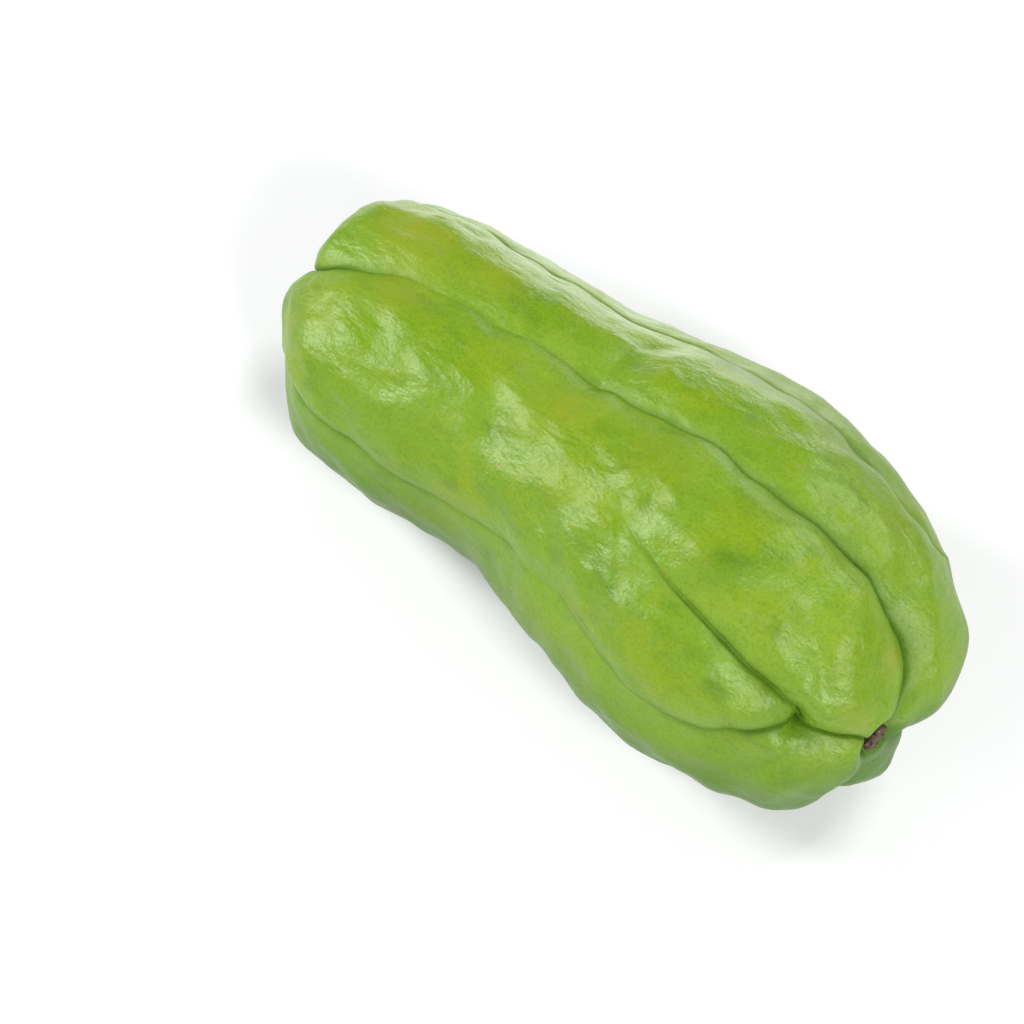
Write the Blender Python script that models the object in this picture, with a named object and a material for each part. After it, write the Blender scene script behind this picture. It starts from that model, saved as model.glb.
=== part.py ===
"""A chayote squash, picked, lying on its flatter side.

Metres, +Z up. The fruit lies along X, with its stalk end at -X and its blossom end at +X, and rests
on z = 0. A place on its skin is given by two numbers: along, from 0 at the stalk end to 1 at the
blossom end, and around, in degrees from the top towards -Y, so 90 is the near side, 180 the
underside and 270 the far side. Lengths in the tables are in millimetres.
"""

import math

import bpy
import numpy as np
from mathutils import Vector, noise

MM = 0.001

# Driving dimensions of the fruit
FRUIT_LENGTH = 171 * MM   # between the two poles of the plain form, before lobes and hollows
AXIS_HEIGHT = 31 * MM     # the centre line above the surface that the fruit rests on
RINGS = 72                # steps along the fruit, from pole to pole
COLUMNS = (12, 10, 12, 10, 12, 8)   # strips from each furrow or the guide to the next one around
CROWDING = 0.08           # how far those strips draw together beside the furrows
GUIDE = (                 # along and around of one more line for the strips, down the main lobe's crease
    (0.00, 62), (0.04, 54), (0.12, 42), (0.30, 35), (0.50, 31), (0.60, 29), (0.68, 35),
    (0.78, 40), (0.86, 46), (0.93, 49.5), (0.95, 44), (0.97, 41), (1.00, 36),
)

# The plain form: at each place along, how far the skin is from the centre line
# at the top, near side, underside and far side
PLAIN_FORM = (
    (0.00, 0.0, 0.0, 0.0, 0.0),
    (0.04, 20.5, 20.5, 18.5, 26.0),
    (0.12, 25.5, 31.0, 31.0, 30.5),
    (0.25, 27.0, 32.5, 33.0, 33.5),
    (0.40, 29.0, 29.5, 31.0, 36.0),
    (0.55, 33.0, 35.5, 32.5, 41.5),
    (0.68, 36.0, 41.0, 33.0, 42.5),
    (0.80, 35.0, 40.0, 32.0, 37.0),
    (0.90, 28.0, 32.0, 28.0, 30.5),
    (0.97, 12.6, 14.0, 20.0, 28.0),
    (1.00, 0.0, 0.0, 0.0, 0.0),
)
BLOSSOM_POLE_SIDE = -12 * MM    # the blossom pole lies this far off the centre line, in Y
BLOSSOM_POLE_RISE = 4 * MM      # and this far in Z
POLE_DRIFT_START = 0.85         # where the sections start to follow the pole

# Furrows that part the lobes, from pole to pole: (along, around, depth)
FURROWS = {
    "upper": (
        (0.00, 32, 5), (0.04, 26, 5), (0.08, 15, 5), (0.12, 7, 4), (0.18, 0, 3.5), (0.26, -3, 3.2),
        (0.36, -6, 3.2), (0.50, -6, 3.5), (0.61, -8, 3.5), (0.72, -7, 4), (0.80, -8, 5),
        (0.87, -12, 6.5), (0.93, -22, 7.5), (0.95, -25, 7.5), (0.97, -24, 7), (1.00, -20, 5),
    ),
    "near": (
        (0.00, 94, 5), (0.05, 87, 5), (0.10, 80, 4.5), (0.16, 80, 4), (0.25, 84, 3.5),
        (0.38, 83, 3), (0.50, 73, 3), (0.61, 73, 3.5), (0.72, 79, 4), (0.80, 79, 4.5),
        (0.86, 71, 5), (0.91, 59, 6), (0.95, 55, 7), (0.97, 50, 7), (0.985, 40, 6), (1.00, 30, 5),
    ),
    "under_near": (
        (0.00, 150, 5), (0.10, 150, 4), (0.30, 152, 3), (0.60, 152, 3), (0.80, 152, 4),
        (0.90, 152, 5), (0.95, 154, 6), (0.98, 151, 7.5), (1.00, 149, 7),
    ),
    "under_far": (
        (0.00, 225, 5), (0.10, 224, 4), (0.30, 222, 3), (0.60, 222, 3), (0.85, 224, 5),
        (0.95, 217, 6), (1.00, 209, 5),
    ),
    "far": (
        (0.00, 300, 5), (0.10, 306, 3), (0.30, 309, 2.5), (0.60, 310, 2.5), (0.78, 307, 3),
        (0.86, 302, 3), (0.90, 292, 2.5), (0.94, 284, 1.5), (1.00, 280, 0.5),
    ),
}
FURROW_SPREAD = 9 * MM      # how far from a furrow the lobes round down towards it
LEAN_EFFECT = 0.6           # share of the spread that a full lean moves from one side to the other
FURROW_ROUNDING = 0.06      # share of that spread in which the bottom is rounded
FURROW_CLEFT = 2.0 * MM     # half width of the sharp cleft at its bottom
CLEFT_SHARE = 0.25          # share of a furrow's depth that is in the cleft
FURROW_BLEND = 4            # how tightly neighbouring furrows join, as the power of a mean

# Furrows that are steeper on one side: (along, lean), above 0 where that is the side with the higher around
LEANS = {
    "upper": (
        (0.0, 0.5), (0.1, 0.5), (0.25, -0.2), (0.4, -0.4), (0.65, -0.2), (0.8, 0.6), (0.9, 0.8), (1.0, 0.7),
    ),
    "near": (
        (0.0, -0.6), (0.25, -0.6), (0.45, -0.2), (0.6, -0.2), (0.75, -0.6), (0.9, -0.8), (1.0, -0.8),
    ),
}
UPRIGHT = ((0.0, 0.0), (1.0, 0.0))   # the lean of the other furrows

# Creases that end on a lobe: spread, then the path as (along, around, depth)
CREASES = {
    "main_lobe": (5, ((0.60, 29, 0), (0.68, 35, 2), (0.78, 40, 4), (0.86, 46, 5), (0.93, 50, 5))),
    "main_lobe_branch": (6, ((0.57, 20, 0), (0.60, 28, 1), (0.64, 42, 1), (0.69, 52, 0))),
    "main_lobe_tip": (6, ((0.74, 16, 0), (0.80, 17, 1.5), (0.87, 20, 2.5), (0.92, 27, 2.2), (0.955, 34, 0))),
    "near_lobe_fold": (4, ((0.82, 100, 0), (0.87, 92, 1), (0.91, 80, 1.5), (0.95, 68, 1))),
    "knuckle": (6, ((0.455, -6, 1.8), (0.45, -18, 2), (0.455, -30, 1.6), (0.50, -42, 0))),
}
CREASE_CLEFT_SHARE = 0.2

# Swellings and dimples: along, around, height (below 0 for a dimple), radius
SWELLINGS = {
    "far_lobe_end": (0.96, -62, 7, 13),
    "far_lobe_knob": (0.935, -80, 4.5, 8),
    "under_lobe_end": (0.965, 182, 1.2, 12),
    "under_lobe_tip": (0.99, 200, -1.2, 7),
    "lower_lobe_side": (0.87, 118, 0.6, 12),
    "main_lobe_stalk_end": (0.045, 66, -1.6, 10),
    "main_lobe_dimple": (0.40, 37, -1.3, 5),
    "bulge_after_knuckle": (0.52, -26, 0.8, 11),
    "shoulder_before_dimple": (0.33, 34, 0.8, 12),
}
UNDULATION = 0.7 * MM           # height of the slight unevenness all over the skin
UNDULATION_SPACING = 15 * MM    # from one rise to the next

# Hollows at the poles: depth, radius, and a power that is higher for steeper walls.
# Each has a flat seat at its bottom.
STALK_HOLLOW = (8 * MM, 10 * MM, 2)
BLOSSOM_HOLLOW = (8.5 * MM, 7.5 * MM, 2.5)
SEAT_RADIUS = 3.2 * MM
SEAT_EASING = 2                 # the wall takes over from the seat within this many seat radii
SEAT_GAP = 0.3 * MM             # between a seat and what grows on it

# The dried remnant of the flower, in the blossom hollow: how far it stands out, and the radius
SCAR_OUTLINE = ((0.0, 1.3), (0.5, 1.5), (1.1, 1.7), (1.9, 1.9), (2.8, 1.9), (3.4, 1.2))
SCAR_WIDTH = 1.35               # stretched this much in Y
SCAR_CRUMPLE = 0.25             # depth of the creases between its withered tips
SCAR_TIPS = 5
SCAR_TWIST = 0.5                # radians per millimetre

# The cut stub of the stalk, in the stalk hollow
STUB_OUTLINE = ((0.0, 1.9), (0.8, 2.3), (2.2, 2.1), (3.6, 2.2), (4.0, 2.0))
STUB_RIDGE = 0.07
STUB_RIDGES = 5
SMALL_COLUMNS = 20              # strips around the remnant and the stub


def through(points, x, column=1):
    """A smooth curve through points, whose first numbers rise, read at x in another column."""
    known = np.array([p[0] for p in points], float)
    values = np.array([p[column] for p in points], float)
    slopes = np.gradient(values, known)
    i = np.clip(np.searchsorted(known, x, side="right") - 1, 0, len(known) - 2)
    gap = known[i + 1] - known[i]
    t = (x - known[i]) / gap
    return (
        (2 * t**3 - 3 * t**2 + 1) * values[i]
        + (t**3 - 2 * t**2 + t) * gap * slopes[i]
        + (3 * t**2 - 2 * t**3) * values[i + 1]
        + (t**3 - t**2) * gap * slopes[i + 1]
    )


def ease(x, start, end):
    """0 before start, 1 after end, smooth between."""
    t = np.clip((x - start) / (end - start), 0, 1)
    return t * t * (3 - 2 * t)


def swing_of(along):
    """Along as an angle from the stalk pole, which keeps the ends round."""
    return np.arccos(np.clip(1 - 2 * np.asarray(along, float), -1, 1))


def along_of(swing):
    return (1 - np.cos(swing)) / 2


def plain_point(along, around):
    """Points of the plain form, before any relief."""
    swing = swing_of(along)
    table = [(swing_of(row[0]), *row[1:]) for row in PLAIN_FORM]
    top, near, under, far = (through(table, swing, column) * MM for column in (1, 2, 3, 4))
    angle = np.radians(around)
    rise, side = np.cos(angle), -np.sin(angle)
    drift = ease(along, POLE_DRIFT_START, 1.0)
    return np.stack(
        [
            (along - 0.5) * FRUIT_LENGTH + 0 * angle,
            np.where(side < 0, near, far) * side + drift * BLOSSOM_POLE_SIDE,
            np.where(rise > 0, top, under) * rise + drift * BLOSSOM_POLE_RISE + AXIS_HEIGHT,
        ],
        axis=-1,
    )


def plain_normal(along, around):
    """Outward direction of the plain form, from the slopes along and around."""
    step = 0.01
    swing = np.clip(swing_of(along), 2 * step, math.pi - 2 * step)
    down_length = plain_point(along_of(swing + step), around) - plain_point(along_of(swing - step), around)
    section = along_of(swing)
    round_section = plain_point(section, around + 1) - plain_point(section, around - 1)
    out = np.cross(round_section, down_length)
    return out / np.linalg.norm(out, axis=-1, keepdims=True)


def nearest_on(path, points):
    """How far each point is from a path, and where on the path that is, counted in its points."""
    best = np.full(len(points), np.inf)
    place = np.zeros(len(points))
    for i in range(len(path) - 1):
        stretch = path[i + 1] - path[i]
        share = np.clip((points - path[i]) @ stretch / (stretch @ stretch), 0, 1)
        gap = points - path[i] - share[:, None] * stretch
        distance = np.einsum("ij,ij->i", gap, gap)
        closer = distance < best
        best[closer] = distance[closer]
        place[closer] = i + share[closer]
    return np.sqrt(best), place


def valley(distance, spread, cleft_share):
    """Depth of a furrow as a share of its full depth: rounded flanks that meet in a sharp cleft."""
    soft = spread * FURROW_ROUNDING
    broad = np.exp(-(np.sqrt(distance**2 + soft**2) - soft) / spread)
    narrow = np.exp(-((distance / FURROW_CLEFT) ** 2))
    return (1 - cleft_share) * broad + cleft_share * narrow


def furrow_depth(points, around):
    steps = 120
    at = along_of(np.linspace(0.03, math.pi - 0.03, steps))
    total = np.zeros(len(points))
    for name, furrow in FURROWS.items():
        course = through(furrow, at)
        distance, place = nearest_on(plain_point(at, course), points)
        depth = np.interp(place, np.arange(steps), through(furrow, at, 2)) * MM
        lean = np.interp(place, np.arange(steps), through(LEANS.get(name, UPRIGHT), at))
        turn = around - np.interp(place, np.arange(steps), course)
        side = np.sign((turn + 180) % 360 - 180)
        spread = FURROW_SPREAD * (1 - LEAN_EFFECT * lean * side)
        total += (depth * valley(distance, spread, CLEFT_SHARE)) ** FURROW_BLEND
    return total ** (1 / FURROW_BLEND)


def crease_depth(points):
    steps = 40
    total = np.zeros(len(points))
    for spread, path in CREASES.values():
        numbered = [(i, *row) for i, row in enumerate(path)]
        t = np.linspace(0, len(path) - 1, steps)
        distance, place = nearest_on(plain_point(through(numbered, t), through(numbered, t, 2)), points)
        depth = np.interp(place, np.arange(steps), through(numbered, t, 3)) * MM
        total += depth * valley(distance, spread * MM, CREASE_CLEFT_SHARE)
    return total


def swelling_height(points):
    total = np.zeros(len(points))
    for along, around, height, radius in SWELLINGS.values():
        centre = plain_point(np.array([along]), np.array([around]))[0]
        distance = np.linalg.norm(points - centre, axis=1)
        total += height * MM * np.exp(-((distance / (radius * MM)) ** 2))
    for i, point in enumerate(points):
        total[i] += UNDULATION * noise.noise(Vector(point) / UNDULATION_SPACING)
    return total


def with_hollows(sunk, points):
    """How far the skin is sunk, once the two hollows and their flat seats are added."""
    for pole, (depth, radius, power) in ((0.0, STALK_HOLLOW), (1.0, BLOSSOM_HOLLOW)):
        centre = plain_point(np.array([pole]), np.array([0.0]))[0]
        distance = np.linalg.norm(points - centre, axis=1)
        dish = depth * np.exp(-((distance / radius) ** power))
        flat = 1 - ease(distance, SEAT_RADIUS, SEAT_RADIUS * SEAT_EASING)
        sunk = (1 - flat) * np.maximum(sunk, dish) + flat * depth
    return sunk


def skin_points(along, around):
    """Points of the skin, the last two of which are the poles."""
    points = plain_point(along, around)
    out = plain_normal(along, around)
    out[-2:] = ((-1, 0, 0), (1, 0, 0))
    creased = furrow_depth(points, around) + crease_depth(points)
    sunk = with_hollows(creased - swelling_height(points), points)
    points = points - out * sunk[:, None]
    points[:, 2] = np.maximum(points[:, 2], 0)
    return points


def skin_grid():
    """Along and around of each point of the skin, in rings from the stalk end, and the number of
    columns. Columns follow the furrows and the guide, and draw together beside them."""
    along = along_of(np.linspace(0, math.pi, RINGS + 1)[1:-1])
    edges = [through(furrow, along)[:, None] for furrow in FURROWS.values()]
    edges.insert(1, through(GUIDE, along)[:, None])
    edges.append(edges[0] + 360)
    bands = []
    for start, end, strips in zip(edges, edges[1:], COLUMNS):
        share = np.arange(strips) / strips
        share = share - CROWDING * np.sin(2 * math.pi * share)
        bands.append(start + (end - start) * share)
    around = np.concatenate(bands, axis=1)
    columns = around.shape[1]
    return np.repeat(along, columns), around.ravel(), columns


def closed_rings(rows, columns):
    """Faces of a stack of rings of points, closed by a fan to the point before the last at its
    start and a fan to the last point at its end."""
    faces = []
    start, end = rows * columns, rows * columns + 1
    for c in range(columns):
        following = (c + 1) % columns
        for r in range(rows - 1):
            a, b = r * columns + c, r * columns + following
            faces.append((a, b, b + columns, a + columns))
        faces.append((start, following, c))
        faces.append((end, (rows - 1) * columns + c, (rows - 1) * columns + following))
    return faces


def fruit_mesh():
    along, around, columns = skin_grid()
    points = skin_points(np.append(along, (0, 1)), np.append(around, (0, 0)))
    return points, closed_rings(RINGS - 1, columns)


def small_mesh(outline, seat, direction, swell):
    """A small turned piece that stands on a seat, out along X in the given direction.
    swell gives the width in Y, the width in Z and the radius factor at an angle and a height."""
    angles = np.linspace(0, 2 * math.pi, SMALL_COLUMNS, endpoint=False)
    rows = []
    for height, radius in outline:
        wide, high, factor = swell(angles, height)
        reach = radius * MM * factor
        rows.append(
            np.stack(
                [
                    np.full(SMALL_COLUMNS, seat[0] + direction * (SEAT_GAP + height * MM)),
                    seat[1] - direction * wide * reach * np.sin(angles),
                    seat[2] + high * reach * np.cos(angles),
                ],
                axis=-1,
            )
        )
    middles = [row.mean(axis=0) for row in (rows[0], rows[-1])]
    return np.concatenate([*rows, middles]), closed_rings(len(rows), SMALL_COLUMNS)


def scar_mesh(seat):
    def swell(angles, height):
        crumple = SCAR_CRUMPLE * np.cos(SCAR_TIPS * angles + SCAR_TWIST * height) * ease(height, 0, 2)
        return SCAR_WIDTH, 1.0, 1 + crumple

    return small_mesh(SCAR_OUTLINE, seat, 1, swell)


def stub_mesh(seat):
    def swell(angles, height):
        return 1.0, 1.0, 1 + STUB_RIDGE * np.cos(STUB_RIDGES * angles)

    return small_mesh(STUB_OUTLINE, seat, -1, swell)


def plain_material(name, colour, roughness):
    material = bpy.data.materials.new(name)
    material.use_nodes = True
    shader = material.node_tree.nodes["Principled BSDF"]
    shader.inputs["Base Color"].default_value = (*colour, 1)
    shader.inputs["Roughness"].default_value = roughness
    shader.inputs["Metallic"].default_value = 0.0
    return material


def add_piece(name, points, faces, material, sharp_angle):
    mesh = bpy.data.meshes.new(name)
    mesh.from_pydata(points.tolist(), [], faces)
    mesh.shade_smooth()
    mesh.set_sharp_from_angle(angle=math.radians(sharp_angle))
    mesh.materials.append(material)
    piece = bpy.data.objects.new(name, mesh)
    bpy.context.scene.collection.objects.link(piece)
    return piece


def main():
    for piece in list(bpy.data.objects):
        bpy.data.objects.remove(piece)
    skin = plain_material("chayote_skin", (0.25, 0.42, 0.05), 0.35)
    dried = plain_material("dried_blossom", (0.12, 0.08, 0.04), 0.9)
    stalk = plain_material("cut_stalk", (0.33, 0.30, 0.14), 0.8)

    points, faces = fruit_mesh()
    middle = (points.min(axis=0) + points.max(axis=0)) / 2
    points -= (middle[0], middle[1], 0)
    stalk_seat, blossom_seat = points[-2], points[-1]
    add_piece("fruit", points, faces, skin, 60)
    add_piece("blossom_scar", *scar_mesh(blossom_seat), dried, 40)
    add_piece("stem_stub", *stub_mesh(stalk_seat), stalk, 40)


if __name__ == "__main__":
    main()
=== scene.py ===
import math

import bpy
import numpy as np
from mathutils import Matrix, Vector, noise


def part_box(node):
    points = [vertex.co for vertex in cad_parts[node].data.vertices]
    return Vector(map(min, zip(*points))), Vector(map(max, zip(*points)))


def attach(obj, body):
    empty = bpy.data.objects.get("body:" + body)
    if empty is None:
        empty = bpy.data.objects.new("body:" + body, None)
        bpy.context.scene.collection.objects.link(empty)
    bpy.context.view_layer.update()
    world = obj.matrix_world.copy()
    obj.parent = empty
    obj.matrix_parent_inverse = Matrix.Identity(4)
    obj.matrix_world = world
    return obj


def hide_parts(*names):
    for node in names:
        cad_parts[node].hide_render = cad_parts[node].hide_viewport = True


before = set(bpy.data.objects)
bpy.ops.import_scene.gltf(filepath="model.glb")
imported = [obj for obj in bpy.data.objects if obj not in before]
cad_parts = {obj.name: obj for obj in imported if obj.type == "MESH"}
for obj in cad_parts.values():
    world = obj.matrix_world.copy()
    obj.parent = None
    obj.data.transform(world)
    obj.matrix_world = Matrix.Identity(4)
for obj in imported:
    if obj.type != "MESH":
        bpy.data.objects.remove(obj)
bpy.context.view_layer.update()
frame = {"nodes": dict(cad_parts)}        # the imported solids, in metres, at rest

mm = 0.001
print("frame loaded, with nodes", ", ".join(frame["nodes"]))


# Shader maths


class Wire:
    # One output of a node, so that sums of masks read as sums
    def __init__(self, shop, socket):
        self.shop = shop
        self.socket = socket

    def __add__(self, other):
        return self.shop.maths("ADD", self, other)

    __radd__ = __add__

    def __mul__(self, other):
        return self.shop.maths("MULTIPLY", self, other)

    __rmul__ = __mul__

    def __sub__(self, other):
        return self.shop.maths("SUBTRACT", self, other)

    def __rsub__(self, other):
        return self.shop.maths("SUBTRACT", other, self)


class Finish:
    # One material and its nodes
    def __init__(self, name):
        self.material = bpy.data.materials.new(name)
        self.material.use_nodes = True
        self.tree = self.material.node_tree
        self.tree.nodes.clear()

    def node(self, kind, settings=None, **values):
        made = self.tree.nodes.new("ShaderNode" + kind)
        for name, value in (settings or {}).items():
            setattr(made, name, value)
        for name, value in values.items():
            self.feed(made.inputs[self.place(made, name)], value)
        return made

    def place(self, made, name):
        # in0 and in1 are sockets by number, and the rest are names with _ for a space
        return int(name[2:]) if name.startswith("in") and name[2:].isdigit() else name.replace("_", " ")

    def feed(self, socket, value):
        if isinstance(value, Wire):
            self.tree.links.new(value.socket, socket)
        elif hasattr(value, "outputs"):
            self.tree.links.new(value.outputs[0], socket)
        else:
            socket.default_value = value

    def wire(self, made, output=0):
        return Wire(self, made.outputs[output])

    def maths(self, operation, *parts):
        made = self.node("Math", {"operation": operation})
        for socket, part in zip(made.inputs, parts):
            self.feed(socket, part)
        return self.wire(made)

    def between(self, value, low, high, atLow=0.0, atHigh=1.0):
        # Eased from atLow, where the value is low, to atHigh, where it is high
        made = self.node(
            "MapRange", {"interpolation_type": "SMOOTHSTEP"},
            Value=value, From_Min=low, From_Max=high, To_Min=atLow, To_Max=atHigh,
        )
        return self.wire(made)

    def mixColour(self, share, first, second):
        # Sockets 6 and 7 and output 2 are the node's colours
        made = self.node("Mix", {"data_type": "RGBA"})
        for number, value in ((0, share), (6, first), (7, second)):
            if isinstance(value, tuple):
                value = (*value, 1)
            self.feed(made.inputs[number], value)
        return self.wire(made, 2)

    def stretched(self, x, y, z):
        # The place on the piece in metres, times a number along each axis
        where = self.node("TexCoord")
        made = self.node("VectorMath", {"operation": "MULTIPLY"}, in1=(x, y, z))
        self.tree.links.new(where.outputs["Object"], made.inputs[0])
        return self.wire(made)

    def noise(self, where, scale, detail=2.0, rough=0.5, warp=0.0):
        made = self.node(
            "TexNoise", None,
            Vector=where, Scale=scale, Detail=detail, Roughness=rough, Distortion=warp,
        )
        return self.wire(made)

    def cells(self, where, scale, output="Distance"):
        return self.wire(self.node("TexVoronoi", None, Vector=where, Scale=scale), output)

    def painted(self, name):
        return self.wire(self.node("Attribute", {"attribute_name": name}), "Fac")

    def bump(self, height, distance, strength, under=None):
        made = self.node("Bump", None, Strength=strength, Distance=distance, Height=height)
        if under is not None:
            self.feed(made.inputs["Normal"], under)
        return self.wire(made)

    def finish(self, **values):
        shader = self.node("BsdfPrincipled", None, **values)
        self.node("OutputMaterial", None, Surface=shader)
        return self.material


def shade(red, green, blue):
    # A colour as seen, 0 to 255, made linear by the sRGB curve
    return tuple(
        c / 12.92 if c <= 0.04045 else ((c + 0.055) / 1.055) ** 2.4
        for c in (red / 255, green / 255, blue / 255)
    )


# The fruit. Tables hold along, from 0 at the stalk end to 1 at the blossom end, and around, in degrees
# from the top towards the near side. Sizes are in millimetres.

fruit = {
    "length": 171,          # between the poles of the plain form
    "axisHeight": 31,
    "rings": 400,
    "strips": (48, 48, 44, 30, 34, 38),   # between neighbours of the furrows and the guide
    "crowding": 0.12,       # how far strips draw together beside the furrows
    "guide": (              # one more line that the strips follow, down the main lobe's crease
        (0.00, 62), (0.04, 54), (0.12, 42), (0.30, 35), (0.50, 31), (0.60, 29), (0.68, 35),
        (0.78, 40), (0.86, 46), (0.93, 49.5), (0.95, 44), (0.97, 41), (1.00, 36),
    ),
    "plain": (              # along, then the skin's distance from the centre line: top, near, under, far
        (0.00, 0.0, 0.0, 0.0, 0.0),
        (0.04, 20.5, 20.5, 18.5, 26.0),
        (0.12, 25.5, 31.0, 31.0, 30.5),
        (0.25, 27.0, 32.5, 33.0, 33.5),
        (0.40, 29.0, 29.5, 31.0, 36.0),
        (0.55, 33.0, 35.5, 32.5, 41.5),
        (0.68, 36.0, 41.0, 33.0, 42.5),
        (0.80, 35.0, 40.0, 32.0, 37.0),
        (0.90, 28.0, 32.0, 28.0, 30.5),
        (0.97, 12.6, 14.0, 20.0, 28.0),
        (1.00, 0.0, 0.0, 0.0, 0.0),
    ),
    "poleShift": (-12, 4),  # of the blossom pole, in Y and Z
    "poleShiftFrom": 0.85,
    "furrows": {            # along, around, depth
        "upper": (
            (0.00, 32, 5), (0.04, 26, 5), (0.08, 15, 5), (0.12, 7, 4), (0.18, 0, 3.5), (0.26, -3, 3.2),
            (0.36, -6, 3.2), (0.50, -6, 3.5), (0.61, -8, 3.5), (0.72, -7, 4), (0.80, -8, 5),
            (0.87, -12, 6.5), (0.93, -22, 7.5), (0.95, -25, 7.5), (0.97, -24, 7), (1.00, -20, 5),
        ),
        "near": (
            (0.00, 94, 5), (0.05, 87, 5), (0.10, 80, 4.5), (0.16, 80, 4), (0.25, 84, 3.5),
            (0.38, 83, 3), (0.50, 73, 3), (0.61, 73, 3.5), (0.72, 79, 4), (0.80, 79, 4.5),
            (0.86, 71, 5), (0.91, 59, 6), (0.95, 55, 7), (0.97, 50, 7), (0.985, 40, 6), (1.00, 30, 5),
        ),
        "underNear": (
            (0.00, 150, 5), (0.10, 150, 4), (0.30, 152, 3), (0.60, 152, 3), (0.80, 152, 4),
            (0.90, 152, 5), (0.95, 154, 6), (0.98, 151, 7.5), (1.00, 149, 7),
        ),
        "underFar": (
            (0.00, 225, 5), (0.10, 224, 4), (0.30, 222, 3), (0.60, 222, 3), (0.85, 224, 5),
            (0.95, 217, 6), (1.00, 209, 5),
        ),
        "far": (
            (0.00, 300, 5), (0.10, 306, 3), (0.30, 309, 2.5), (0.60, 310, 2.5), (0.78, 307, 3),
            (0.86, 302, 3), (0.90, 292, 2.5), (0.94, 284, 1.5), (1.00, 280, 0.5),
        ),
    },
    "furrowSpread": 9,      # how far from a furrow the lobes round down
    "softBottom": 0.06,     # how round its bottom is, as a share of the spread
    "furrowBlend": 4,       # higher for a sharper ridge where two furrows meet
    "wander": 1.4,          # degrees that a furrow strays to a side
    "wanderWaves": 17,      # how often it does so
    "wanderRange": (0.02, 0.08, 0.90, 0.97),   # along, where straying starts, is full, fades and ends
    "lean": {               # along, then how much steeper the side with the higher around is
        "upper": (
            (0.0, 0.5), (0.1, 0.5), (0.25, -0.2), (0.4, -0.4), (0.65, -0.2), (0.8, 0.6), (0.9, 0.8),
            (1.0, 0.7),
        ),
        "near": (
            (0.0, -0.6), (0.25, -0.6), (0.45, -0.2), (0.6, -0.2), (0.75, -0.6), (0.9, -0.8), (1.0, -0.8),
        ),
    },
    "plainLean": ((0.0, 0.0), (1.0, 0.0)),         # of the other furrows
    "leanEffect": 0.6,      # how much of the spread a full lean takes away
    "cleft": 0.5,           # half width of the sharp cleft
    "cleftReach": 0.9,      # how far from it the skin is darkened with painted shade
    "cleftShare": {         # along, then how much of the depth is the cleft
        "upper": (
            (0.0, 0.16), (0.12, 0.08), (0.2, 0.03), (0.38, 0.04), (0.55, 0.1), (0.7, 0.1), (0.85, 0.14),
            (1.0, 0.14),
        ),
        "near": (
            (0.0, 0.1), (0.25, 0.1), (0.4, 0.06), (0.55, 0.02), (0.78, 0.02), (0.87, 0.1), (1.0, 0.14),
        ),
    },
    "plainCleftShare": ((0.0, 0.1), (1.0, 0.1)),   # of the other furrows
    "creases": {            # spread, how much of the depth is a sharp cleft, then along, around, depth
        "mainLobe": (5, 0.15, ((0.60, 29, 0), (0.68, 35, 2), (0.78, 40, 4), (0.86, 46, 5), (0.93, 50, 5))),
        "mainLobeBranch": (6, 0, ((0.57, 20, 0), (0.60, 28, 1), (0.64, 42, 1), (0.69, 52, 0))),
        "mainLobeTip": (
            6, 0, ((0.74, 16, 0), (0.80, 17, 1.5), (0.87, 20, 2.5), (0.92, 27, 2.2), (0.955, 34, 0)),
        ),
        "nearLobeFold": (4, 0.1, ((0.82, 100, 0), (0.87, 92, 1), (0.91, 80, 1.5), (0.95, 68, 1))),
        "knuckle": (6, 0.05, ((0.455, -6, 1.8), (0.45, -18, 2), (0.455, -30, 1.6), (0.50, -42, 0))),
    },
    "swellings": {          # along, around, height (below 0 for a dimple), radius
        "farLobeEnd": (0.96, -62, 7, 13),
        "farLobeKnob": (0.935, -80, 4.5, 8),
        "underLobeEnd": (0.965, 182, 1.2, 12),
        "underLobeTip": (0.99, 200, -1.2, 7),
        "lowerLobeSide": (0.87, 118, 0.6, 12),
        "toeEnd": (0.875, 62, 1.5, 6),
        "toePocket": (0.914, 54, -3.8, 4.2),
        "mainLobeStalkEnd": (0.045, 66, -1.6, 10),
        "mainLobeDimple": (0.40, 37, -1.3, 5),
        "bulgeAfterKnuckle": (0.52, -26, 0.8, 11),
        "shoulderBeforeDimple": (0.33, 34, 0.8, 12),
    },
    "knobs": (              # spacing, height, how much longer than wide
        (15, 0.8, 1.0),
        (6.5, 0.75, 1.3),
        (3.2, 0.2, 1.4),
    ),
    "hollows": (            # along, depth, radius, and a power that is higher for steeper walls
        (0.0, 8, 10, 2),
        (1.0, 8.5, 7.5, 2.5),
    ),
    "seatRadius": 3.2,      # of the level spot in a hollow that the scar or the stub stands on
    "fold": (0.72, 0.9, 0.99, 2.5),   # of the painted shade where the upper lobe dips under the main one, along the upper furrow: where it starts, is full and ends, and its reach
    "underside": (70, 125),           # degrees from the top where the painted shade of the underside starts, and is deepest
    "deepSunk": 6,                    # where the paint called sunk is full
    "ripe": (               # yellow stains: along, around, strength, radius
        (0.13, -22, 0.9, 9),
        (0.175, 9, 0.8, 6),
        (0.25, -22, 0.5, 7),
        (0.453, 11, 0.8, 5),
        (0.60, 8, 0.3, 9),
        (0.952, -12, 0.9, 3),
        (0.97, 25, 0.5, 5),
    ),
    "bruises": (            # darker green spots
        (0.744, 22, 0.8, 3.5),
        (0.768, 20, 0.7, 3),
        (0.845, 29, 0.7, 2.2),
        (0.816, 55, 0.7, 1.8),
        (0.831, 57, 0.6, 1.5),
        (0.40, 37, 0.5, 3),
        (0.63, 46, 0.5, 4),
    ),
}


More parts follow.
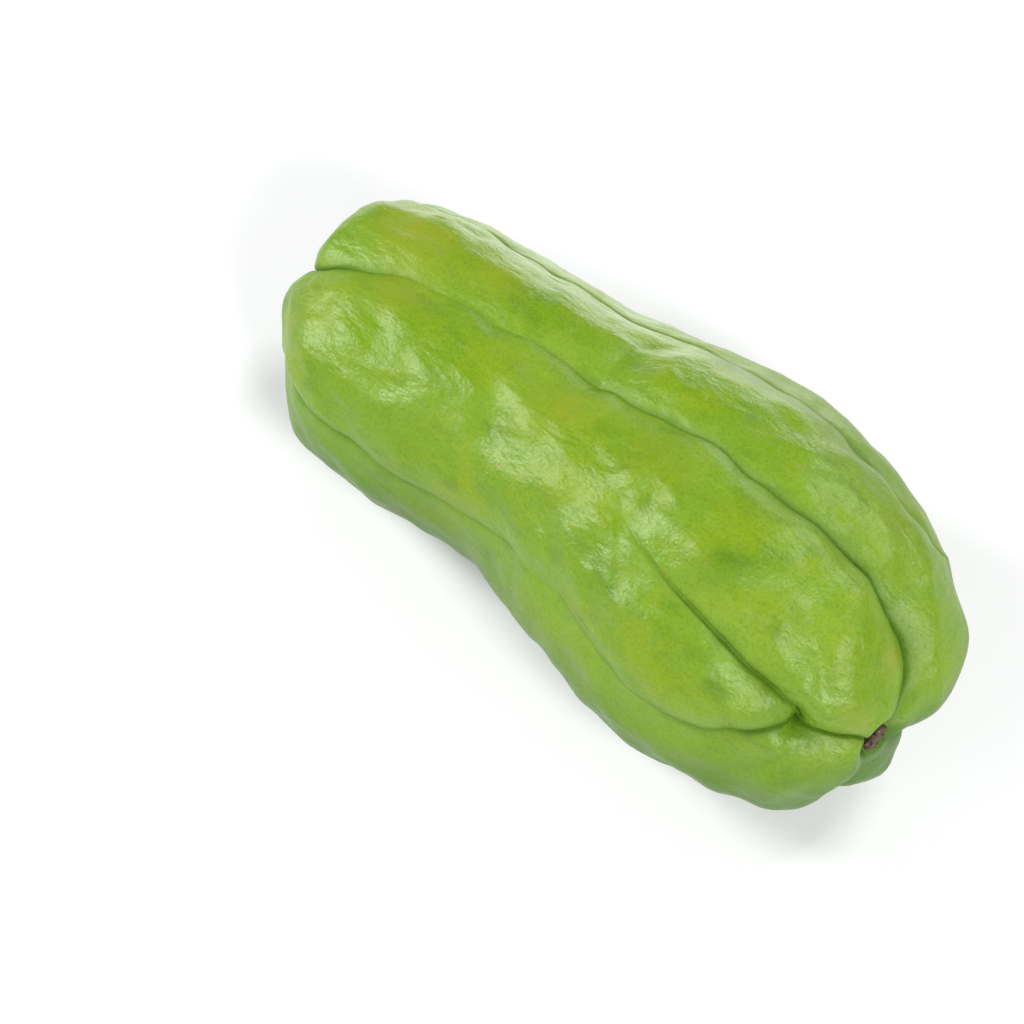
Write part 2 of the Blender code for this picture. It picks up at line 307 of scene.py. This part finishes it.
def through(points, x, column=1):
    # A smooth curve through points, whose first numbers rise, read at x
    known = np.array([p[0] for p in points], float)
    values = np.array([p[column] for p in points], float)
    slopes = np.gradient(values, known)
    i = np.clip(np.searchsorted(known, x, side="right") - 1, 0, len(known) - 2)
    gap = known[i + 1] - known[i]
    t = (x - known[i]) / gap
    return (
        (2 * t**3 - 3 * t**2 + 1) * values[i]
        + (t**3 - 2 * t**2 + t) * gap * slopes[i]
        + (3 * t**2 - 2 * t**3) * values[i + 1]
        + (t**3 - t**2) * gap * slopes[i + 1]
    )


def ease(x, start, end):
    t = np.clip((x - start) / (end - start), 0, 1)
    return t * t * (3 - 2 * t)


def swingOf(along):
    # Along as an angle from the stalk pole, which keeps the ends round
    return np.arccos(np.clip(1 - 2 * np.asarray(along, float), -1, 1))


def alongOf(swing):
    return (1 - np.cos(swing)) / 2


def plainPoint(along, around):
    swing = swingOf(along)
    table = [(swingOf(row[0]), *row[1:]) for row in fruit["plain"]]
    top, near, under, far = (through(table, swing, column) for column in (1, 2, 3, 4))
    angle = np.radians(around)
    rise, side = np.cos(angle), -np.sin(angle)
    drift = ease(along, fruit["poleShiftFrom"], 1.0)
    y = np.where(side < 0, near, far) * side + drift * fruit["poleShift"][0]
    z = np.where(rise > 0, top, under) * rise + drift * fruit["poleShift"][1] + fruit["axisHeight"]
    return np.stack([(along - 0.5) * fruit["length"] + 0 * angle, y, z], axis=-1) * mm


def plainNormal(along, around):
    step = 0.01
    swing = np.clip(swingOf(along), 2 * step, math.pi - 2 * step)
    downLength = plainPoint(alongOf(swing + step), around) - plainPoint(alongOf(swing - step), around)
    level = alongOf(swing)
    roundSection = plainPoint(level, around + 1) - plainPoint(level, around - 1)
    out = np.cross(roundSection, downLength)
    return out / np.linalg.norm(out, axis=-1, keepdims=True)


def nearestOn(path, points):
    # Distance to the nearest place on a path, and that place, counted in the path's points
    best = np.full(len(points), np.inf)
    place = np.zeros(len(points))
    for i in range(len(path) - 1):
        stretch = path[i + 1] - path[i]
        share = np.clip((points - path[i]) @ stretch / (stretch @ stretch), 0, 1)
        gap = points - path[i] - share[:, None] * stretch
        distance = np.einsum("ij,ij->i", gap, gap)
        closer = distance < best
        best[closer] = distance[closer]
        place[closer] = i + share[closer]
    return np.sqrt(best), place


def valley(distance, spread, cleftShare):
    # Depth of a furrow as a share of its full depth: round flanks that meet in a sharp cleft
    soft = spread * fruit["softBottom"]
    broad = np.exp(-(np.sqrt(distance**2 + soft**2) - soft) / spread)
    narrow = np.exp(-((distance / (fruit["cleft"] * mm)) ** 2))
    return (1 - cleftShare) * broad + cleftShare * narrow


def furrowAround(name, along):
    # A furrow strays a little from its smooth course
    row = list(fruit["furrows"]).index(name) * 9.1      # a place of its own in the noise
    at = np.atleast_1d(along)
    stray = np.array([noise.noise(Vector((a * fruit["wanderWaves"], row, 0.5))) for a in at])
    start, full, fade, end = fruit["wanderRange"]
    share = ease(at, start, full) * (1 - ease(at, fade, end))
    return through(fruit["furrows"][name], at) + fruit["wander"] * stray * share


def sideOf(around, course):
    # Degrees from a furrow's course round to each point, from -180 to 180
    return (around - course + 180) % 360 - 180


def furrowDepth(points, around):
    # The depth at each point, and how deep in a cleft it is, from 0 to 1
    steps = 140
    poleGap = 0.03          # an angle by which a furrow's path stops short of a pole
    at = alongOf(np.linspace(poleGap, math.pi - poleGap, steps))
    total = np.zeros(len(points))
    cleft = np.zeros(len(points))
    for name, furrow in fruit["furrows"].items():
        course = furrowAround(name, at)
        distance, place = nearestOn(plainPoint(at, course), points)
        leanTable = fruit["lean"].get(name, fruit["plainLean"])
        sharpTable = fruit["cleftShare"].get(name, fruit["plainCleftShare"])
        tables = (through(furrow, at, 2), course, through(leanTable, at), through(sharpTable, at))
        depth, turn, lean, sharp = (np.interp(place, np.arange(steps), table) for table in tables)
        side = np.sign(sideOf(around, turn))
        spread = fruit["furrowSpread"] * mm * (1 - fruit["leanEffect"] * lean * side)
        total += (depth * valley(distance, spread, sharp)) ** fruit["furrowBlend"]
        # Painted shade: how dark the skin is painted close to the cleft
        shadow = np.exp(-distance / (fruit["cleftReach"] * mm))
        cleft = np.maximum(cleft, shadow * np.clip(depth * sharp * 2, 0, 1))
    return total ** (1 / fruit["furrowBlend"]), cleft


def foldShade(points, around):
    # Painted shade where the upper lobe dips in under the main one, from 0 to 1
    start, full, end, reach = fruit["fold"]
    steps = 60
    at = np.linspace(start, end, steps)
    course = furrowAround("upper", at)
    distance, place = nearestOn(plainPoint(at, course), points)
    along, turn = (np.interp(place, np.arange(steps), table) for table in (at, course))
    shadow = np.exp(-distance / (reach * mm))
    return shadow * ease(along, start, full) * (sideOf(around, turn) < 0)


def creaseDepth(points):
    # The same of the creases, each of which runs only part of the way
    steps = 60
    total = np.zeros(len(points))
    cleft = np.zeros(len(points))
    for spread, sharp, path in fruit["creases"].values():
        numbered = [(i, *row) for i, row in enumerate(path)]
        t = np.linspace(0, len(path) - 1, steps)
        distance, place = nearestOn(plainPoint(through(numbered, t), through(numbered, t, 2)), points)
        depth = np.interp(place, np.arange(steps), through(numbered, t, 3))
        total += depth * valley(distance, spread * mm, sharp)
        # Painted shade: how dark the skin is painted close to the cleft
        shadow = np.exp(-distance / (fruit["cleftReach"] * mm))
        cleft = np.maximum(cleft, shadow * depth * sharp)
    return total, np.clip(cleft, 0, 1)


def hills(rows, points):
    # The height at each point of round hills, given as along, around, height, radius
    total = np.zeros(len(points))
    for along, around, height, radius in rows:
        centre = plainPoint(np.array([along]), np.array([around]))[0]
        distance = np.linalg.norm(points - centre, axis=1)
        total += height * np.exp(-((distance / (radius * mm)) ** 2))
    return total


def knobHeight(points):
    # Uneven knobs all over, in three sizes
    total = np.zeros(len(points))
    for spacing, height, stretch in fruit["knobs"]:
        scaled = points / (spacing * mm) / (stretch, 1, 1)
        total += height * np.array([noise.noise(Vector(p)) for p in scaled])
    return total


def withHollows(sunk, points):
    # Adds the hollow at each pole, with its level spot, to how far each point is sunk
    for pole, depth, radius, power in fruit["hollows"]:
        centre = plainPoint(np.array([pole]), np.array([0.0]))[0]
        distance = np.linalg.norm(points - centre, axis=1) / mm
        dish = depth * np.exp(-((distance / radius) ** power))
        flat = 1 - ease(distance, fruit["seatRadius"], fruit["seatRadius"] * 2)
        sunk = (1 - flat) * np.maximum(sunk, dish) + flat * depth
    return sunk


def skinPoints(along, around):
    # Points of the skin, the last two of which are the poles, then how deep in a cleft each is, from 0
    # to 1, and how far furrows and creases have sunk it
    points = plainPoint(along, around)
    out = plainNormal(along, around)
    out[-2:] = ((-1, 0, 0), (1, 0, 0))
    furrow, furrowCleft = furrowDepth(points, around)
    crease, creaseCleft = creaseDepth(points)
    raised = hills(fruit["swellings"].values(), points) + knobHeight(points)
    sunk = withHollows(furrow + crease - raised, points)
    points = points - out * sunk[:, None] * mm
    points[:, 2] = np.maximum(points[:, 2], 0)
    return points, np.maximum(furrowCleft, creaseCleft), furrow + crease


def skinGrid():
    # Along and around of each point, in rings from the stalk end, and the number of strips
    along = alongOf(np.linspace(0, math.pi, fruit["rings"] + 1)[1:-1])
    edges = [furrowAround(name, along)[:, None] for name in fruit["furrows"]]
    edges.insert(1, through(fruit["guide"], along)[:, None])     # between the upper and the near furrow
    edges.append(edges[0] + 360)
    lobes = []
    for start, end, strips in zip(edges, edges[1:], fruit["strips"]):
        share = np.arange(strips) / strips
        share = share - fruit["crowding"] * np.sin(2 * math.pi * share)
        lobes.append(start + (end - start) * share)
    around = np.concatenate(lobes, axis=1)
    strips = around.shape[1]
    return np.repeat(along, strips), around.ravel(), strips


def closedRings(rows, strips):
    # Faces of a stack of rings, closed by fans to the last two points
    faces = []
    start, end = rows * strips, rows * strips + 1
    for c in range(strips):
        following = (c + 1) % strips
        for r in range(rows - 1):
            a, b = r * strips + c, r * strips + following
            faces.append((a, b, b + strips, a + strips))
        faces.append((start, following, c))
        faces.append((end, (rows - 1) * strips + c, (rows - 1) * strips + following))
    return faces


def makePiece(name, points, faces, finish, painted=None):
    # A smooth mesh. painted holds a number for each point under each name, which the finish reads
    mesh = bpy.data.meshes.new(name)
    mesh.from_pydata(points.tolist(), [], faces)
    mesh.shade_smooth()
    for label, values in (painted or {}).items():
        layer = mesh.attributes.new(label, "FLOAT", "POINT")
        layer.data.foreach_set("value", np.asarray(values, np.float32))
    mesh.materials.append(finish)
    piece = bpy.data.objects.new(name, mesh)
    bpy.context.scene.collection.objects.link(piece)
    return piece


skin = {
    "green": shade(102, 136, 10),
    "yellowGreen": shade(116, 141, 0),
    "paleGreen": shade(114, 148, 46),
    "deepGreen": shade(56, 98, 2),
    "ripe": shade(136, 142, 34),
    "blemish": shade(140, 104, 30),
    "slant": math.radians(-36),     # of the fine wrinkles, from the length towards the near side
    "stretch": 0.45,                # of streaks and wrinkles: how much finer they are across than along
    "spotScale": 75,                # cells a metre that may hold a dark spot
    "speckScale": 90,               # and a brown speck
    "poreScale": 1500,
    "patterns": {                   # waves a metre, detail, roughness, distortion
        "patches": (62, 3, 0.55, 0.4),
        "mottle": (170, 3, 0.6, 0.6),
        "pale": (34, 3, 0.5),
        "streaks": (210, 3, 0.6),
        "grain": (1500, 3, 0.65),
        "folds": (190, 3, 0.5, 0.4),
        "dimples": (300, 3, 0.6),
        "wrinkles": (480, 2, 0.5, 0.3),
    },
    "relief": {                     # height, strength
        "folds": (0.75, 0.9),
        "dimples": (0.28, 0.8),
        "wrinkles": (0.24, 0.8),
        "grain": (0.14, 0.8),
        "pores": (0.04, 0.4),
    },
    "roughness": 0.37,
    "patchRoughness": 0.08,         # more in the patches
    "cleftRoughness": 0.4,          # and in the clefts
}


def skinFinish():
    f = Finish("chayoteSkin")
    where = f.stretched(1, 1, 1)
    lengthwise = f.stretched(skin["stretch"], 1, 1)
    turn = (0, 0, skin["slant"])
    slanted = f.wire(f.node("Mapping", None, Vector=where, Rotation=turn, Scale=(skin["stretch"], 1, 1)))
    ways = {"streaks": lengthwise, "folds": slanted, "wrinkles": slanted}
    pattern = {name: f.noise(ways.get(name, where), *row) for name, row in skin["patterns"].items()}
    pattern["pores"] = f.between(f.cells(where, skin["poreScale"]), 0.0, 0.35)

    patches, mottle, grain = pattern["patches"], pattern["mottle"], pattern["grain"]
    cleft = f.painted("cleft")
    ripe = f.painted("ripe") * f.between(mottle, 0.3, 0.6, 0.5, 1.0)
    bruise = f.painted("bruise") * f.between(mottle, 0.35, 0.6, 0.5, 1.0)
    hasSpot = f.between(f.cells(where, skin["spotScale"], "Color"), 0.66, 0.7)
    hasSpeck = f.between(f.cells(where, skin["speckScale"], "Color"), 0.74, 0.76)
    spot = (1 - f.between(f.cells(where, skin["spotScale"]), 0.05, 0.22)) * hasSpot
    speck = (1 - f.between(f.cells(where, skin["speckScale"]), 0.03, 0.09)) * hasSpeck
    tints = (   # from the lowest layer up: where it is, its strength, its colour
        (f.between(patches, 0.46, 0.62), 0.8, "yellowGreen"),
        (f.between(mottle, 0.5, 0.66), 0.6, "yellowGreen"),
        (f.between(pattern["pale"], 0.5, 0.7), 0.45, "paleGreen"),
        (f.between(f.painted("sunk"), 0.12, 0.5), 0.4, "paleGreen"),
        (f.between(pattern["streaks"], 0.5, 0.75), 0.3, "deepGreen"),
        (f.between(grain, 0.5, 0.66), 0.3, "paleGreen"),
        (f.between(grain, 0.5, 0.36), 0.25, "deepGreen"),
        # painted shade: the underside of the fruit darker
        (f.painted("under"), 0.8, "deepGreen"),
        (ripe, 0.7, "ripe"),
        # painted shade where the upper lobe dips in under the main one
        (f.painted("fold"), 0.4, "deepGreen"),
        (bruise, 0.7, "deepGreen"),
        # painted shade: the skin darkened in and beside the sharp clefts
        (cleft, 0.9, "deepGreen"),
        (spot, 0.3, "deepGreen"),
        (speck, 0.5, "blemish"),
    )
    colour = skin["green"]
    for mask, strength, name in tints:
        colour = f.mixColour(mask * strength, colour, skin[name])

    normal = None
    for name, (height, strength) in skin["relief"].items():
        normal = f.bump(pattern[name], height * mm, strength, normal)
    rougher = f.between(patches, 0.3, 0.7) * skin["patchRoughness"]
    return f.finish(
        Base_Color=colour,
        Roughness=skin["roughness"] + rougher + cleft * skin["cleftRoughness"],
        Normal=normal,
        IOR=1.46,
        Specular_Tint=(0.97, 1.0, 0.82, 1),
        Subsurface_Weight=0.12,
        Subsurface_Radius=(0.6, 1.0, 0.25),
        Subsurface_Scale=2.5 * mm,
    )


def makeFruit():
    along, around, strips = skinGrid()
    along = np.append(along, (0, 1))        # the poles come last
    around = np.append(around, (0, 0))
    points, cleft, sunk = skinPoints(along, around)
    low, high = (np.array(corner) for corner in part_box("fruit"))
    middle = (points.min(axis=0) + points.max(axis=0)) / 2
    points[:, :2] += ((low + high) / 2 - middle)[:2]
    faces = closedRings(fruit["rings"] - 1, strips)
    plain = plainPoint(along, around)
    painted = {
        "cleft": cleft,
        "sunk": sunk / fruit["deepSunk"],
        "ripe": hills(fruit["ripe"], plain),
        "bruise": hills(fruit["bruises"], plain),
        # painted shade where the upper lobe dips in under the main one
        "fold": foldShade(plain, around),
        # painted shade on the underside, by degrees from the top
        "under": ease(np.abs(sideOf(around, 0)), *fruit["underside"]),
    }
    piece = makePiece("fruitSkin", points, faces, skinFinish(), painted)
    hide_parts("fruit")
    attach(piece, "root")


makeFruit()
print("fruit made")


# The dried remnant of the flower, in the hollow at the blossom end

scar = {
    "rows": 30,
    "strips": 60,
    "outline": ((0.0, 1.3), (0.5, 1.5), (1.1, 1.7), (1.9, 1.9), (2.8, 1.9), (3.4, 1.2)),  # height, radius
    "width": 1.35,          # stretched this much in Y
    "crumple": 0.3,         # as a share of the radius
    "crumpledFrom": 2,      # the height from which it is in full
    "tips": 5,
    "twist": 0.5,           # radians a millimetre
    "lumps": ((1.5, 0.5), (0.6, 0.3)),     # spacing, height
}


def driedFinish():
    look = {"dark": shade(34, 25, 16), "brown": shade(92, 70, 46), "dry": shade(160, 146, 124)}
    f = Finish("driedBlossom")
    where = f.stretched(0.5, 1, 1)
    tone = f.noise(where, 900, 3, 0.6)
    fibres = f.noise(f.stretched(0.25, 1, 1), 3200, 2, 0.6)
    colour = f.mixColour(f.between(tone, 0.35, 0.6), look["dark"], look["brown"])
    colour = f.mixColour(f.between(fibres, 0.5, 0.75) * 0.6, colour, look["dry"])
    normal = f.bump(fibres, 0.2 * mm, 0.7)
    return f.finish(Base_Color=colour, Roughness=0.8 + fibres * 0.15, Normal=normal)


def turned(piece, foot, direction, ridge):
    # A turned piece that stands on a foot, out along X. ridge gives the radius as a share of the outline's
    outline = piece["outline"]
    angles = np.linspace(0, 2 * math.pi, piece["strips"], endpoint=False)
    points = []
    for height in np.linspace(outline[0][0], outline[-1][0], piece["rows"]):
        reach = through(outline, height) * ridge(angles, height)
        ring = (
            foot[0] + direction * height * mm + 0 * angles,
            foot[1] - direction * piece["width"] * reach * np.sin(angles) * mm,
            foot[2] + reach * np.cos(angles) * mm,
        )
        points.append(np.stack(ring, axis=-1))
    ends = [points[0].mean(axis=0), points[-1].mean(axis=0)]
    return np.concatenate([*points, ends]), closedRings(piece["rows"], piece["strips"])


def lumpy(points, lumps, centre):
    # Pushes points out from the centre, or in, by noise of one or more sizes
    out = points - centre
    out /= np.linalg.norm(out, axis=1, keepdims=True)
    for spacing, height in lumps:
        rise = np.array([noise.noise(Vector(p / (spacing * mm))) for p in points])
        points = points + out * rise[:, None] * height * mm
    return points


def makeScar():
    low, high = (np.array(corner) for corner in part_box("blossom_scar"))
    foot = np.array([low[0], (low[1] + high[1]) / 2, (low[2] + high[2]) / 2])

    def ridge(angles, height):
        crumple = scar["crumple"] * np.cos(scar["tips"] * angles + scar["twist"] * height)
        return 1 + crumple * ease(height, 0, scar["crumpledFrom"])

    points, faces = turned(scar, foot, 1, ridge)
    points = lumpy(points, scar["lumps"], (low + high) / 2)
    points[:, 0] = np.maximum(points[:, 0], low[0])
    piece = makePiece("driedFlower", points, faces, driedFinish())
    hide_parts("blossom_scar")
    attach(piece, "root")


makeScar()
print("dried flower made")


# The cut stub of the stalk, in the hollow at the narrow end

stub = {
    "rows": 24,
    "strips": 60,
    "outline": ((0.0, 1.9), (0.8, 2.3), (2.2, 2.1), (3.6, 2.2), (4.0, 2.0)),
    "width": 1,
    "ridge": 0.07,          # as a share of the radius
    "ridges": 5,
    "lumps": ((1.2, 0.08), (0.5, 0.05)),
}


def stalkFinish():
    look = {"green": shade(150, 150, 84), "dry": shade(176, 160, 118), "dark": shade(104, 92, 56)}
    f = Finish("cutStalk")
    fibres = f.noise(f.stretched(0.12, 1, 1), 2600, 3, 0.6)
    tone = f.noise(f.stretched(1, 1, 1), 500, 2, 0.5)
    colour = f.mixColour(f.between(tone, 0.35, 0.65), look["green"], look["dry"])
    colour = f.mixColour(f.between(fibres, 0.5, 0.7) * 0.6, colour, look["dark"])
    return f.finish(Base_Color=colour, Roughness=0.7 + fibres * 0.2, Normal=f.bump(fibres, 0.15 * mm, 0.6))


def makeStub():
    low, high = (np.array(corner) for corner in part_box("stem_stub"))
    foot = np.array([high[0], (low[1] + high[1]) / 2, (low[2] + high[2]) / 2])

    def ridge(angles, height):
        return 1 + stub["ridge"] * np.cos(stub["ridges"] * angles)

    points, faces = turned(stub, foot, -1, ridge)
    points = lumpy(points, stub["lumps"], (low + high) / 2)
    points[:, 0] = np.minimum(points[:, 0], high[0])
    piece = makePiece("stalkStub", points, faces, stalkFinish())
    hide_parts("stem_stub")
    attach(piece, "root")


makeStub()
print("stalk stub made")


# The studio: a pale floor, soft lights and the camera

studio = {
    "floorSize": 4.0,
    "floor": (0.68, 0.685, 0.69),
    "floorGlow": 0.13,
    "sky": 0.14,
    "lights": {             # direction from the fruit, distance, size, power
        "left": ((-0.75, -0.36, 0.56), 1.0, 0.3, 9.0),
        "overBack": ((0.2, 0.62, 0.74), 1.1, 0.3, 6.4),
        "right": ((0.70, -0.35, 0.62), 1.0, 0.3, 9.2),
        "front": ((-0.2, -0.88, 0.42), 1.0, 0.4, 1.5),
        "backdrop": ((-0.35, 0.92, 0.06), 1.0, 0.3, 2.0),
    },
    "card": ((-0.27, 0.30, 0.003), 0.45, 1.4),   # a lamp laid face up behind the fruit: place, size, power
}
view = {
    "azimuth": 42.2,
    "elevation": 56.1,
    "distance": 0.9,
    "pixelsPerMm": 4.85,
    "picturePixels": 1024,
    "aimPoint": (4.8 * mm, -1.1 * mm, 31.3 * mm),   # a point in the middle of the fruit
    "aimPixel": (633.5, 503.9),                      # and where it falls in the picture
    "sensorWidth": 36,
}


def makeFloor():
    half = studio["floorSize"] / 2
    corners = np.array([(-half, -half, 0), (half, -half, 0), (half, half, 0), (-half, half, 0)])
    f = Finish("paleFloor")
    cloudy = f.noise(f.stretched(1, 1, 1), 4, 2, 0.5)
    finish = f.finish(
        Base_Color=(*studio["floor"], 1),
        Roughness=0.5 + cloudy * 0.1,
        Emission_Color=(1, 1, 1, 1),
        Emission_Strength=studio["floorGlow"],
    )
    floor = makePiece("floor", corners, [(0, 1, 2, 3)], finish)


def makeLamp(name, place, turn, size, power):
    lamp = bpy.data.lights.new(name, "AREA")
    lamp.size = size
    lamp.energy = power
    holder = bpy.data.objects.new(name, lamp)
    holder.location = place
    holder.rotation_euler = turn.to_euler()
    bpy.context.scene.collection.objects.link(holder)


def makeLights():
    middle = Vector(view["aimPoint"])
    for name, (direction, distance, size, power) in studio["lights"].items():
        place = middle + Vector(direction).normalized() * distance
        makeLamp(name, place, (middle - place).to_track_quat("-Z", "Y"), size, power)
    place, size, power = studio["card"]
    makeLamp("card", place, Vector((0, 0, 1)).to_track_quat("-Z", "Y"), size, power)
    world = bpy.data.worlds.new("softSky")
    world.use_nodes = True
    sky = world.node_tree.nodes["Background"]
    sky.inputs["Color"].default_value = (1, 1, 1, 1)
    sky.inputs["Strength"].default_value = studio["sky"]
    bpy.context.scene.world = world


def makeCamera():
    turn, lift = math.radians(view["azimuth"]), math.radians(view["elevation"])
    back = Vector((math.sin(turn) * math.cos(lift), -math.cos(turn) * math.cos(lift), math.sin(lift)))
    right = Vector((math.cos(turn), math.sin(turn), 0))
    up = back.cross(right)
    pixel = mm / view["pixelsPerMm"]
    half = view["picturePixels"] / 2
    target = Vector(view["aimPoint"])
    target += (half - view["aimPixel"][0]) * pixel * right
    target += (view["aimPixel"][1] - half) * pixel * up
    lens = bpy.data.cameras.new("camera")
    lens.sensor_width = view["sensorWidth"]
    lens.lens = view["sensorWidth"] * view["distance"] / (view["picturePixels"] * pixel)
    camera = bpy.data.objects.new("camera", lens)
    facing = Matrix((right, up, back)).transposed().to_4x4()
    camera.matrix_world = Matrix.Translation(target + back * view["distance"]) @ facing
    bpy.context.scene.collection.objects.link(camera)
    bpy.context.scene.camera = camera


makeFloor()
makeLights()
makeCamera()
bpy.context.scene.view_settings.view_transform = "Standard"
print("studio made")
